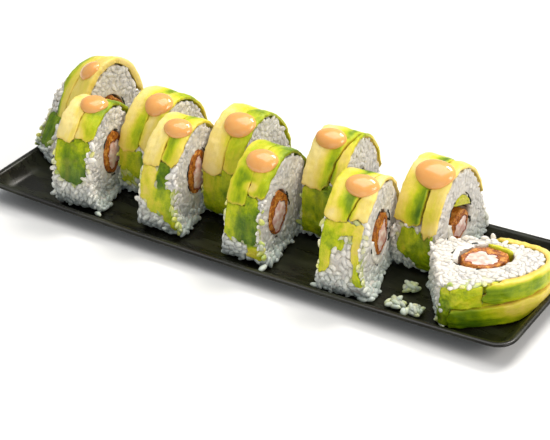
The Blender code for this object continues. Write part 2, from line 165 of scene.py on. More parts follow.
# Avocado on each slice. Along the slice is in millimetres from its middle, round it in degrees from the
# back's middle over the top. spans are the strips' first and last degrees. split is where the two strips
# meet, as (degrees, along) points, and gap the opening there. tones are (along, ripeness) points from
# cream at 0 over lime at 0.6 to dark green at 1. stains are local changes: along, degrees, reach along,
# reach in degrees, ripeness added. smears are avocado pressed on the rice below the strips: along, degrees,
# reach along, reach in degrees, how fully it covers, and its ripeness
Cover = namedtuple("Cover", "spans split gap tones stains smears")
COVERS = {
    1: Cover(((0, 178), (8, 168)), ((0, -1.5), (180, -1.0)), 0.2,
             ((-12, 0.74), (-8, 0.60), (-5, 0.30), (-1, 0.20), (3, 0.24), (11, 0.16)),
             ((-9, 178, 4, 22, 0.5), (9, 70, 5, 30, -0.1), (-10, 100, 4, 30, 0.1)),
             ((-7, 188, 5, 11, 0.95, 0.9), (-14, 200, 4, 10, 0.9, 0.8))),
    2: Cover(((0, 152), (0, 147)), ((0, 0.0), (180, 0.0)), 0.1,
             ((-11, 0.02), (-4, 0.12), (1, 0.30), (5, 0.52), (11, 0.64)),
             ((-8, 132, 6, 14, -0.14), (7, 96, 6, 26, 0.14), (2, 142, 3, 7, -0.2), (5, 66, 8, 18, 0.2)),
             ((-1.5, 162, 9, 17, 1.0, 0.74), (1, 174, 7, 13, 1.0, 1.0), (-8, 164, 3.5, 14, 0.9, 0.55),
              (7, 160, 3, 12, 0.8, 0.5))),
    3: Cover(((-12, 174), (4, 168)), ((0, 3.0), (120, 2.4), (180, 1.0)), 0.3,
             ((-11, 0.05), (-6, 0.12), (-3, 0.42), (1, 0.60), (3, 0.30), (5, 0.14), (9, 0.3), (11, 0.4)),
             ((-2, 150, 4, 18, 0.16), (6, 66, 6, 22, 0.4), (-8, 166, 4, 8, 0.15)),
             ((-5, 177, 8, 12, 1.0, 0.46), (0, 182, 5, 12, 0.9, 0.82), (-6, 198, 7, 12, 0.42, 0.7))),
    4: Cover(((0, 157), (0, 152)), ((0, 0.5), (180, 0.0)), 0.1,
             ((-10, 0.04), (-4, 0.08), (-1, 0.22), (3, 0.60), (6, 0.42), (10, 0.26)),
             ((3, 128, 3, 20, 0.14), (2, 66, 9, 16, 0.2), (-4, 100, 5, 20, 0.08)),
             ((-6, 168, 5, 16, 0.95, 0.34), (3, 164, 3.0, 18, 1.0, 0.92), (1, 186, 5, 10, 0.8, 0.5),
              (9, 190, 4, 14, 0.95, 0.66), (11, 204, 3.5, 12, 0.95, 0.6))),
    5: Cover(((0, 178), (-10, 171)), ((0, 1.0), (180, 1.0)), 0.1,
             ((-11, 0.03), (-5, 0.06), (-1, 0.20), (4, 0.42), (11, 0.60)),
             ((2, 132, 5, 22, 0.16), (-1, 82, 8, 16, 0.26), (9, 84, 5, 24, 0.12)),
             ((-4, 184, 8, 18, 1.0, 0.50), (3, 188, 6, 20, 1.0, 0.76), (-5, 208, 7, 16, 0.7, 0.7))),
    6: Cover(((8, 167), (0, 156)), ((0, 0.0), (180, 0.5)), 0.1,
             ((-10, 0.34), (-6, 0.60), (-1, 0.56), (4, 0.46), (7, 0.62), (10, 0.74)),
             ((-5, 140, 5, 10, 0.2), (1, 146, 4, 5, -0.34), (6, 66, 8, 20, 0.25), (-1, 128, 6, 8, -0.1)),
             ((-2, 172, 9, 20, 1.0, 0.66), (3, 180, 6, 15, 1.0, 1.0), (-7, 172, 3.5, 20, 1.0, 0.5),
              (8, 206, 4, 9, 0.9, 0.45))),
    7: Cover(((0, 170), (0, 163)), ((60, 9.6), (100, 8.6), (136, 4.6), (162, 3.6), (180, 3.4)), 1.1,
             ((-11, 0.02), (-5, 0.05), (-2, 0.26), (2, 0.62), (5, 0.60), (7, 0.24), (11, 0.34)),
             ((3, 150, 4, 16, 0.12), (8, 84, 4, 26, 0.36)),
             ((-4, 184, 8, 15, 0.95, 0.62), (4, 182, 7, 19, 1.0, 0.82), (-3, 206, 8, 16, 0.62, 0.7),
              (8, 150, 3.5, 12, 0.8, 0.42), (3, 214, 6, 14, 0.6, 0.9))),
    8: Cover(((0, 152), (6, 148)), ((60, 7.0), (110, 5.0), (150, 1.0), (180, 0.0)), 0.6,
             ((-11, 0.40), (-7, 0.26), (-3, 0.50), (1, 0.72), (3, 0.40), (5, 0.10), (11, 0.04)),
             ((-2, 132, 4, 12, 0.12), (-6, 146, 5, 7, -0.2), (2, 60, 8, 18, 0.4)),
             ((-6, 164, 5, 14, 1.0, 0.60), (8, 166, 2.4, 18, 0.95, 0.26), (0, 156, 7, 6, 0.9, 0.4),
              (-9, 184, 3.5, 9, 0.9, 0.5), (9.5, 190, 2.2, 12, 0.8, 0.6), (-2, 172, 4, 6, 0.6, 0.7))),
    9: Cover(((0, 176), (4, 181)), ((60, 4.0), (140, 2.6), (180, 3.0)), 1.1,
             ((-11, 0.18), (-7, 0.26), (-3, 0.52), (1, 0.92), (4, 0.22), (7, 0.24), (11, 0.14)),
             ((-4, 108, 9, 16, -0.12), (-2, 156, 4, 14, 0.12), (7, 160, 4, 12, 0.08)),
             ((-3, 190, 6, 11, 0.9, 0.66), (3, 196, 7, 16, 0.9, 0.78), (5, 212, 5, 12, 0.7, 0.85))),
    10: Cover(((-38, 156), (-6, 168)), ((-40, -1.0), (60, 0.8), (180, 0.0)), 1.6,
              ((-11, 0.52), (-5, 0.50), (-1, 0.40), (1, 0.52), (5, 0.64), (9, 0.60), (11, 0.2)),
              ((-6, -24, 9, 26, 0.34), (-5, 26, 9, 34, -0.12), (-6, 76, 10, 34, -0.22), (-10, 10, 3, 40, 0.2),
               (7, 16, 8, 40, 0.14), (7, 84, 8, 30, -0.18)),
              ((-4, -44, 7, 12, 1.0, 0.86), (5, -18, 7, 20, 1.0, 0.56), (1, -40, 6, 16, 1.0, 0.72),
               (-7, -62, 4, 9, 0.8, 0.9), (7, -44, 3, 8, 0.6, 0.66))),
}
SIDE_NAMES = ("left", "right")

# Rice grains: their size, how close they lie on the cut faces and outside, and how many spots are tried
GRAIN_LENGTH = 6.2 * MM
GRAIN_WIDTH = 2.9 * MM
FACE_SPACING = 2.15 * MM
FOOT_SPACING = 2.3 * MM
FACE_TRIES = 3400
FOOT_TRIES = 1900
# How deep things lie: grains and body behind the cut faces, the body under the outer grains, the rice under
# the plain arch and under a strip, and face grains in from a strip or from bare rice
FACE_SUNK = 0.75 * MM
FACE_CORE = 0.45 * MM
FOOT_SUNK = 0.9 * MM
RICE_SUNK = 0.6 * MM
STRIP_CLEAR = 0.2 * MM
UNDER_STRIP = 1.9 * MM
UNDER_BARE = 0.8 * MM
# Up to where grains lie loose on a cut face, and up to what height painted shade darkens the grains and turns
# them bluish towards the plate
LOOSE_TOP = 14 * MM
PAINTED_SHADE_TOP = 20 * MM
# How fast a face's uneven outline fades towards the hole, and how much pressed avocado hides the grains
FACE_FADE = 2.5
COVERED = 0.45
# Loose rice on the plate: middle, number of grains, and the seed of its random draw
LOOSE = {
    1: (0.0955, -0.0365, 7, 11),
    2: (0.0850, -0.0345, 7, 12),
    3: (0.0850, -0.0190, 5, 13),
}
HEAP_RADIUS = 2.6 * MM

# Camera of the photograph, in millimetres, and its lens on a 36 mm sensor
CAMERA_PLACE = Vector((405.6, -672.2, 466.7)) * MM
CAMERA_AIM = Vector((-8.73, 10.55, 0.0)) * MM
CAMERA_LENS = 117.8
CAMERA_SENSOR = 36.0

Slice = namedtuple("Slice", "number place height width thickness hole form")
Grain = namedtuple("Grain", "point normal flat lift tint")


# Shader building

class Number:
    """A socket of a material that takes part in arithmetic."""

    def __init__(self, recipe, socket):
        self.recipe = recipe
        self.socket = socket

    def join(self, operation, first, second):
        return self.recipe.add("ShaderNodeMath", {"operation": operation}, {0: first, 1: second})

    def __add__(self, other):
        return self.join("ADD", self, other)

    def __sub__(self, other):
        return self.join("SUBTRACT", self, other)

    def __rsub__(self, other):
        return self.join("SUBTRACT", other, self)

    def __mul__(self, other):
        return self.join("MULTIPLY", self, other)

    __radd__ = __add__
    __rmul__ = __mul__


class Recipe:
    """A material, and the nodes that lead to its shader."""

    def __init__(self, name):
        self.material = bpy.data.materials.new(name)
        self.material.use_nodes = True
        self.tree = self.material.node_tree
        self.shader = self.tree.nodes["Principled BSDF"]
        self.place = self.add("ShaderNodeTexCoord", {}, {}, "Object")

    def add(self, kind, settings, inputs, output=0):
        """A node with its settings first and its sockets' values or links after."""
        node = self.tree.nodes.new(kind)
        for name, value in settings.items():
            if name == "stops":
                for index, (at, colour) in enumerate(value):
                    ramp = node.color_ramp.elements
                    stop = ramp[index] if index < 2 else ramp.new(at)
                    stop.position = at
                    stop.color = (*colour, 1.0)
            else:
                setattr(node, name, value)
        for name, value in inputs.items():
            self.feed(node.inputs[name], value)
        return Number(self, node.outputs[output])

    def feed(self, socket, value):
        if isinstance(value, Number):
            self.tree.links.new(value.socket, socket)
        else:
            socket.default_value = value

    def attribute(self, name):
        return self.add("ShaderNodeAttribute", {"attribute_name": name}, {}, "Fac")

    def noise(self, scale, detail=3.0, rough=0.5, place=None):
        inputs = {"Vector": place or self.place, "Scale": scale, "Detail": detail, "Roughness": rough}
        return self.add("ShaderNodeTexNoise", {}, inputs)

    def cells(self, scale):
        return self.add("ShaderNodeTexVoronoi", {}, {"Vector": self.place, "Scale": scale}, "Distance")

    def ramp(self, level, stops):
        return self.add("ShaderNodeValToRGB", {"stops": stops}, {0: level})

    def step(self, level, low, high):
        """From 0 to 1 as level goes from low to high."""
        inputs = {"Value": level, "From Min": low, "From Max": high}
        return self.add("ShaderNodeMapRange", {"interpolation_type": "SMOOTHSTEP"}, inputs)

    def mix(self, share, first, second):
        settings = {"data_type": "RGBA"}
        colours = [c if isinstance(c, Number) else (*c, 1.0) for c in (first, second)]
        return self.add("ShaderNodeMix", settings, {0: share, 6: colours[0], 7: colours[1]}, 2)

    def bump(self, height, depth, strength=1.0):
        inputs = {"Height": height, "Distance": depth, "Strength": strength}
        return self.add("ShaderNodeBump", {}, inputs)

    def finish(self, **inputs):
        for name, value in inputs.items():
            self.feed(self.shader.inputs[name.replace("_", " ")], value)
        return self.material


def srgb(red, green, blue):
    """Linear colour of a colour as a picture holds it, each from 0 to 255."""
    shares = [part / 255 for part in (red, green, blue)]
    return tuple(part / 12.92 if part <= 0.04045 else ((part + 0.055) / 1.055) ** 2.4 for part in shares)


WHITE_GLOW = (1.0, 0.95, 0.85)


def glow(share, colour, depth):
    """Light let in under the surface: its share, how far each colour goes, and the depth in millimetres."""
    return {"Subsurface_Weight": share, "Subsurface_Radius": colour, "Subsurface_Scale": depth * MM}


def rice_tint(recipe, cloud):
    """How green the rice is, mottled at the edge of each smear."""
    return recipe.step(recipe.attribute("tint") + (cloud - 0.5) * 0.7, 0.12, 0.95) * 0.9


def rice_finish():
    """Moist rice: white, with painted shade near the plate that makes it darker and bluish, tinged green
    where avocado was smeared.
    """
    recipe = Recipe("rice_grains")
    tone = recipe.attribute("tone")
    cloud = recipe.noise(420.0, 3.0)
    fine = recipe.noise(1700.0, 2.0)
    white = recipe.mix(tone, srgb(228, 220, 206), srgb(242, 235, 222))
    # Painted shade: the white is mixed towards a darker bluish grey by the attribute low, which is highest
    # near the plate
    painted_shade = recipe.mix(recipe.attribute("low") * 0.85, white, srgb(182, 200, 194))
    smear = recipe.ramp(cloud + (tone - 0.5) * 0.3, (
        (0.30, srgb(150, 180, 40)), (0.52, srgb(200, 208, 80)), (0.70, srgb(222, 216, 124))))
    colour = recipe.mix(rice_tint(recipe, cloud), painted_shade, smear)
    wet = recipe.step(fine, 0.35, 0.7) * 0.22 + 0.34
    bump = recipe.bump(fine + cloud * 0.6, 0.25 * MM, 0.5)
    return recipe.finish(Base_Color=colour, Roughness=wet, Normal=bump, Specular_IOR_Level=0.4,
                         **glow(0.6, WHITE_GLOW, 2.6))


def rice_core_finish():
    """The same rice, seen only in the gaps between the grains."""
    recipe = Recipe("rice_core")
    lumps = recipe.cells(330.0)
    cloud = recipe.noise(420.0, 3.0)
    white = recipe.mix(lumps, srgb(238, 231, 220), srgb(218, 212, 202))
    colour = recipe.mix(rice_tint(recipe, cloud), white, srgb(168, 186, 66))
    bump = recipe.bump(lumps, 0.8 * MM, 0.7)
    return recipe.finish(Base_Color=colour, Roughness=0.5, Normal=bump, **glow(0.6, WHITE_GLOW, 2.6))


def avocado_finish():
    """Soft flesh from cream yellow over lime to dark green, with fine fibres and yellow cut edges."""
    recipe = Recipe("avocado_flesh")
    across = recipe.attribute("across")
    round_it = recipe.attribute("round_it")
    fibre_place = recipe.add("ShaderNodeCombineXYZ", {}, {"X": across * 2.6, "Y": round_it * 0.5, "Z": 0.0})
    fibre = recipe.noise(1.0, 4.0, 0.6, fibre_place)
    mottle = recipe.noise(230.0, 4.0, 0.6)
    fine = recipe.noise(1300.0, 3.0, 0.6)
    edge = recipe.attribute("edge")
    mash = recipe.attribute("mash")
    ripe = recipe.attribute("ripe")
    level = ripe + (mottle - 0.5) * 0.34 + (fibre - 0.5) * 0.22 + (fine - 0.5) * mash * 0.3
    flesh = recipe.ramp(level, (
        (0.0, srgb(248, 226, 146)), (0.20, srgb(240, 216, 104)), (0.42, srgb(220, 210, 54)),
        (0.60, srgb(184, 196, 14)), (0.78, srgb(128, 154, 4)), (1.0, srgb(72, 106, 0))))
    cut_edge = recipe.mix(fine, srgb(222, 168, 56), srgb(244, 206, 104))
    colour = recipe.mix(edge * 0.8, flesh, cut_edge)
    rough = recipe.step(mottle, 0.3, 0.7) * 0.2 + 0.3
    relief = fibre * 0.8 + fine * 0.5 + mottle * 0.6
    bump = recipe.bump(relief, 0.35 * MM, 0.55)
    return recipe.finish(Base_Color=colour, Roughness=rough, Normal=bump, Specular_IOR_Level=0.3,
                         **glow(0.2, (1.0, 0.9, 0.3), 1.2))


def prawn_finish():
    """Pale pink flesh in a fried crust, dark red-brown where they meet."""
    recipe = Recipe("fried_prawn")
    crust = recipe.attribute("crust")
    crumb = recipe.noise(430.0, 5.0, 0.7)
    fine = recipe.noise(1900.0, 3.0, 0.7)
    streak = recipe.noise(360.0, 2.0, 0.4)
    fried = recipe.ramp(crumb * 0.8 + fine * 0.2, (
        (0.34, srgb(88, 36, 6)), (0.45, srgb(158, 84, 18)), (0.55, srgb(204, 126, 36)),
        (0.66, srgb(238, 190, 104))))
    flesh = recipe.ramp(streak, ((0.32, srgb(214, 158, 142)), (0.50, srgb(232, 196, 182)),
                                 (0.66, srgb(244, 224, 212))))
    edge = crust + (crumb - 0.5) * 0.25
    rim = recipe.mix(recipe.step(edge, 0.34, 0.46), flesh, srgb(128, 40, 14))
    colour = recipe.mix(recipe.step(edge, 0.5, 0.66), rim, fried)
    bump = recipe.bump(crumb * recipe.step(crust, 0.4, 0.6) + streak * 0.25, 0.8 * MM, 0.8)
    rough = recipe.step(fine, 0.3, 0.7) * 0.25 + 0.35
    return recipe.finish(Base_Color=colour, Roughness=rough, Normal=bump, **glow(0.12, (1.0, 0.5, 0.35), 1.0))


def nori_finish():
    """Dried seaweed, black green and wrinkled."""
    recipe = Recipe("nori")
    wrinkle = recipe.noise(900.0, 4.0, 0.7)
    colour = recipe.mix(wrinkle, srgb(14, 17, 12), srgb(46, 52, 34))
    bump = recipe.bump(wrinkle, 0.3 * MM, 0.8)
    rough = recipe.step(wrinkle, 0.3, 0.7) * 0.3 + 0.35
    return recipe.finish(Base_Color=colour, Roughness=rough, Normal=bump)


def cheese_finish():
    """Soft white cheese."""
    recipe = Recipe("soft_cheese")
    cloud = recipe.noise(500.0, 3.0)
    colour = recipe.mix(cloud, srgb(236, 230, 212), srgb(250, 248, 240))
    bump = recipe.bump(cloud, 0.3 * MM, 0.6)
    return recipe.finish(Base_Color=colour, Roughness=cloud * 0.2 + 0.3, Normal=bump,
                         **glow(0.25, WHITE_GLOW, 1.0))


def sauce_finish():
    """Glossy peach-coloured sauce."""
    recipe = Recipe("peach_sauce")
    cloud = recipe.noise(160.0, 3.0)
    speck = recipe.noise(2200.0, 2.0)
    base = recipe.mix(cloud, srgb(240, 166, 86), srgb(245, 184, 108))
    colour = recipe.mix(recipe.step(speck, 0.66, 0.76) * 0.5, base, srgb(226, 132, 56))
    bump = recipe.bump(cloud, 0.3 * MM, 0.25)
    return recipe.finish(Base_Color=colour, Roughness=cloud * 0.08 + 0.1, Normal=bump,
                         Coat_Weight=0.5, Coat_Roughness=0.06, **glow(0.25, (1.0, 0.6, 0.3), 1.5))


def plate_finish():
    """Black glaze, warm and satin, with faint brushed streaks and olive patches that are partly painted
    reflection, and a painted highlight along the lip.
    """
    recipe = Recipe("black_glaze")
    stretched = recipe.add("ShaderNodeMapping", {}, {"Vector": recipe.place, "Scale": (0.25, 1.0, 1.0)})
    streak = recipe.noise(120.0, 5.0, 0.6, stretched)
    cloud = recipe.noise(26.0, 3.0)
    fine = recipe.noise(2400.0, 2.0)
    lip_highlight = recipe.attribute("lip_highlight")
    # The near-black glaze drifts in patches to dark olive, with lighter olive streaks: partly the glaze's own
    # tone, partly painted reflection of the lights and the avocado
    base = recipe.mix(cloud, srgb(10, 8, 7), srgb(30, 30, 20))
    brushed_with_painted_reflection = recipe.mix(recipe.step(streak, 0.42, 0.72) * 0.6, base, srgb(58, 61, 42))
    # Painted highlight: a grey band along the top of the lip
    colour = recipe.mix(lip_highlight * 0.5, brushed_with_painted_reflection, srgb(74, 73, 74))
    rough = recipe.step(streak, 0.3, 0.7) * 0.16 + 0.2
    bump = recipe.bump(fine * 0.4 + streak * 0.6, 0.08 * MM, 0.5)
    return recipe.finish(Base_Color=colour, Roughness=rough, Normal=bump, Specular_IOR_Level=0.22)


# Form of a slice

def blend(first, second, share):
    return first + (second - first) * share


def clamp(value, low=0.0, high=1.0):
    return max(low, min(value, high))


def smooth(share):
    share = clamp(share)
    return share * share * (3 - 2 * share)


def signed_power(value, power):
    return math.copysign(abs(value) ** power, value)


def read_points(points, at):
    """Value at a place between (place, value) points."""
    if at <= points[0][0]:
        return points[0][1]
    for (low, first), (high, second) in zip(points, points[1:]):
        if at <= high:
            return blend(first, second, (at - low) / (high - low))
    return points[-1][1]


def ripple(x, y, size, seed):
    """Smooth noise from about -1 to 1 whose lumps are about size across."""
    return noise.noise(Vector((x / size, y / size, seed * 7.31 + 0.5)))


def arch_point(degrees, cut):
    """Outline of a slice, across and up, counterclockwise from the middle of its back."""
    cosine = math.cos(math.radians(degrees))
    sine = math.sin(math.radians(degrees))
    power = ARCH_POWER if sine > 0 else FOOT_POWER
    full = cut.height / (1 - ARCH_CUT)
    across = cut.width / 2 * signed_power(cosine, power) * (1 - ARCH_TAPER * sine)
    up = max(full * (0.5 + 0.5 * signed_power(sine, power) - ARCH_CUT), 0.0)
    share = up / cut.height
    down = cut.form.skew * MM * (1 - share) * across / (cut.width / 2)
    return Vector((across + cut.form.lean * MM * share, up - down))


def arch_normal(degrees, cut):
    along = (arch_point(degrees + 2, cut) - arch_point(degrees - 2, cut)).normalized()
    return Vector((along.y, -along.x))


def arch_offset(degrees, cut, lift):
    """Point of the outline moved outwards by lift."""
    return arch_point(degrees, cut) + lift * arch_normal(degrees, cut)


def hole_middle(cut):
    """Middle of the filling, which follows the slice's lean."""
    middle = HOLE_MIDDLE + Vector((cut.form.aside, cut.form.above)) * MM
    return middle + Vector((cut.form.lean * MM * middle.y / cut.height, 0.0))


def slice_point(along, spot, cut):
    """Point of a slice in its own axes, lowered towards its left end where its top droops."""
    share = 0.5 - along / cut.thickness
    down = cut.form.droop * MM * share * spot.y / cut.height
    return Vector((along, spot.x, spot.y - down))


def placed(along, spot, cut):
    """Point of a slice, in the row frame."""
    return cut.place @ slice_point(along, spot, cut)


def hole_point(degrees, cut, inwards=0.0):
    """Outline of the hole for the filling."""
    turn = math.radians(degrees)
    size = cut.hole - Vector((inwards, inwards))
    return hole_middle(cut) + Vector((size.x * math.cos(turn), size.y * math.sin(turn)))


def rice_spread(along, spot, cut):
    """How far the rice stands out along the slice: loose at the foot's front, bulging at the roll's end."""
    front = clamp(SPREAD_FROM - spot.x / (cut.width / 2))
    low = max(1 - spot.y / SPREAD_TOP, 0.0)
    if along > 0:
        return cut.form.spread * MM * front * low ** SPREAD_POWER
    share = clamp(1 - spot.y / BULGE_TOP)
    return cut.form.bulge * MM * share ** BULGE_POWER


def rice_foot(along, spot, cut):
    """How far the rice stands out across the slice, most at the foot: behind it, or before it if negative."""
    low = max(1 - spot.y / (cut.height / 2), 0.0)
    if spot.x > 0:
        return cut.form.heel * MM * low
    share = 1.0 if along < 0 else TOE_RIGHT
    return -cut.form.toe * MM * share * low ** TOE_POWER


def edge_inset(x, y):
    """Distance of a plan point in from the plate's rounded outline."""
    past_x = abs(x) - (PLATE_LENGTH / 2 - PLATE_CORNER)
    past_y = abs(y) - (PLATE_WIDTH / 2 - PLATE_CORNER)
    outside = math.hypot(max(past_x, 0.0), max(past_y, 0.0))
    return PLATE_CORNER - outside - min(max(past_x, past_y), 0.0)


def rim_top(x):
    return RIM_HEIGHT + END_RISE * (2 * x / PLATE_LENGTH) ** 2


SLOPE = tuple((inset, share) for inset, share, drop in PLATE_PROFILE
              if inset >= SLOPE_FROM and share >= 0.0 and drop == 0)


def plate_top(x, y):
    """Height of the plate's upper side at a plan point."""
    share = read_points(SLOPE, edge_inset(x, y) / MM)
    return blend(PLATE_FLOOR, rim_top(x), share)


def above_plate(point, room):
    """A point in the row frame, inside the rim and at least room above the plate."""
    point = point.copy()
    point.x = max(point.x, -RIM_REACH)
    point.z = max(point.z, plate_top(point.x, point.y) + room)
    return point


def standing_place(x, y, turn):
    spot = Vector((x * MM, y * MM, PLATE_FLOOR + GAP))
    return Matrix.Translation(spot) @ Matrix.Rotation(math.radians(turn), 4, "Z")


def lying_place(x, y, turn, height, thickness):
    """A slice's own X points up, and its top points along turn."""
    top = Vector((math.cos(math.radians(turn)), math.sin(math.radians(turn)), 0.0))
    upward = Vector((0.0, 0.0, 1.0))
    axes = Matrix((upward, top.cross(upward), top)).transposed().to_4x4()
    spot = Vector((x * MM, y * MM, PLATE_FLOOR + GAP + thickness / 2)) - top * height / 2
    return Matrix.Translation(spot) @ axes


def all_slices():
    slices = {}
    for number, (x, y, turn, height, width, thickness) in {**STANDING, **LYING}.items():
        sizes = [size * MM for size in (height, width, thickness)]
        place = standing_place(x, y, turn)
        if number in LYING:
            place = lying_place(x, y, turn, sizes[0], sizes[2])
        hole = Vector(FILLINGS[number].hole) * MM if number in FILLINGS else HOLE_SMALL
        slices[number] = Slice(number, place, *sizes, hole, FORMS[number])
    return slices


def slot_place(cut, degrees):
    """Where the slot between a slice's two strips is, along the slice."""
    return read_points(COVERS[cut.number].split, degrees) * MM


def field(marks, along, degrees):
    """Sum of a slice's stains at a spot, each fading towards its reach."""
    total = 0.0
    for middle, angle, reach, turn, value in marks:
        far = math.sqrt(((along / MM - middle) / reach) ** 2 + ((degrees - angle) / turn) ** 2)
        total += value * smooth(1.5 - far)
    return total


def smear_at(cut, along, degrees):
    """How fully pressed avocado covers a spot below the strips, from 0 to 1, and its ripeness."""
    if degrees > 280:
        degrees -= 360
    x = along / MM
    y = degrees * ROUND
    torn = 0.30 * ripple(x, y, 3.6, cut.number + 70) + 0.16 * ripple(x, y, 1.5, cut.number + 71)
    level = 0.0
    weight = 0.0001
    ripe = 0.0
    for middle, angle, reach, turn, share, green in COVERS[cut.number].smears:
        far = (abs((x - middle) / reach) ** 3 + abs((degrees - angle) / turn) ** 3) ** (1 / 3) + torn
        here = share * smooth((1.3 - far) / 0.5)
        level = max(level, here)
        weight += here
        ripe += here * green
    return level, ripe / weight


def strip_low(cut, degrees):
    """Left edge of the left strip, along the slice: over the bulge, but for bare rice at a margin's foot."""
    over = rice_spread(-1.0, arch_point(degrees, cut), cut) * smooth((150 - degrees) / 24)
    return cut.form.margin * MM * smooth((degrees - 134) / 24) - cut.thickness / 2 - over


def strip_covers(cut, along, degrees, margin=0.0):
    """Whether one of the two strips lies over a spot, with margin degrees to spare at its ends."""
    side = 0 if along < slot_place(cut, degrees) else 1
    first, last = COVERS[cut.number].spans[side]
    for turned in (degrees, degrees - 360):
        if first - margin <= turned <= last + margin:
            return along >= strip_low(cut, turned)
    return False


# Meshes

def piece(name, mesh, material, replaced=()):
    """Shown object of a mesh, riding on the part."""
    mesh.materials.append(material)
    mesh.shade_smooth()
    thing = bpy.data.objects.new(name, mesh)
    bpy.context.scene.collection.objects.link(thing)
    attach(thing, "root")
    if replaced:
        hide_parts(*replaced)
    return thing


def wrapped(name, columns, rows, place, marks=()):
    """Mesh of a grid bent round a form. place turns two shares into a point and the values of its marks."""
    shape = bmesh.new()
    bmesh.ops.create_grid(shape, x_segments=columns, y_segments=rows, size=0.5)
    layers = [shape.verts.layers.float.new(mark) for mark in marks]
    for vert in shape.verts:
        point, values = place(clamp(vert.co.x + 0.5), clamp(vert.co.y + 0.5))
        vert.co = point
        for layer, value in zip(layers, values):
            vert[layer] = value
    bmesh.ops.remove_doubles(shape, verts=shape.verts, dist=WELD)
    bmesh.ops.recalc_face_normals(shape, faces=shape.faces)
    mesh = bpy.data.meshes.new(name)
    shape.to_mesh(mesh)
    shape.free()
    return mesh


def stand_in(node, ending, size, place, marks, material):
    """Wrapped piece that replaces a node and is named for it. size is its columns and rows."""
    name = f"{node}_{ending}"
    return piece(name, wrapped(name, *size, place, marks), material, (node,))


def rounded_box(share, wide, deep, corner):
    """Point on a rounded rectangle, a share of the way round from the right end of its top."""
    walked = share * 2 * (wide + deep)
    if walked < wide:
        spot = Vector((wide / 2 - walked, deep / 2))
    elif walked < wide + deep:
        spot = Vector((-wide / 2, deep / 2 - (walked - wide)))
    elif walked < 2 * wide + deep:
        spot = Vector((walked - wide - deep - wide / 2, -deep / 2))
    else:
        spot = Vector((wide / 2, walked - 2 * wide - deep - deep / 2))
    inner = Vector((clamp(spot.x, corner - wide / 2, wide / 2 - corner),
                    clamp(spot.y, corner - deep / 2, deep / 2 - corner)))
    return inner + (spot - inner).normalized() * corner


def run(share, capped):
    """Share along a piece whose section closes at both ends, and how open the section is."""
    if share < capped:
        return 0.0, share / capped
    if share > 1 - capped:
        return 1.0, (1 - share) / capped
    return (share - capped) / (1 - 2 * capped), 1.0


def rod_run(share, capped, end):
    """Place along a rod on a walk over one cut face, its side and the other, and how far out it is."""
    if share < capped:
        return -end, share / capped
    if share > 1 - capped:
        return end, (1 - share) / capped
    return blend(-end, end, (share - capped) / (1 - 2 * capped)), 1.0


def plate_piece(material):
    last = len(PLATE_PROFILE) - 1

    def place(u, v):
        step = v * (last + 2)
        index = clamp(round(step) - 1, 0, last)
        inset, share, drop = PLATE_PROFILE[index]
        inset *= MM
        corner = max(PLATE_CORNER - inset, INNER_CORNER)
        spot = rounded_box(u, PLATE_LENGTH - 2 * inset, PLATE_WIDTH - 2 * inset, corner)
        if share < 0:
            height = -drop * MM
        else:
            height = blend(PLATE_FLOOR, rim_top(spot.x), share) - drop * MM
        if index == UNDERSIDE_BEND:
            height = (rim_top(spot.x) - LIP_DEPTH) / 2
        if round(step) in (0, last + 2):
            spot *= 0.0
        # Painted highlight: how strongly the lip's grey band shows, most at 0.8 mm in from the edge of the
        # lip's top
        lip_highlight = smooth(1 - abs(inset / MM - 0.8) / 0.8) if share == 1.0 else 0.0
        return Vector((*spot, height)), (lip_highlight,)

    mesh = wrapped("plate_glazed", PLATE_COLUMNS, last + 2, place, ("lip_highlight",))
    return piece("plate_glazed", mesh, material, ("plate",))


BAND_MARKS = ("ripe", "edge", "mash", "across", "round_it")


def strip_deep(cut, along):
    """Thickness of the avocado strips, thinner towards the cut faces of most standing slices."""
    if cut.number in LYING or cut.number == 1 and along > 0:
        return STRIP_THICK
    inset = cut.thickness / 2 - abs(along)
    return blend(STRIP_RIM, STRIP_THICK, smooth(inset / (5.0 * MM)))


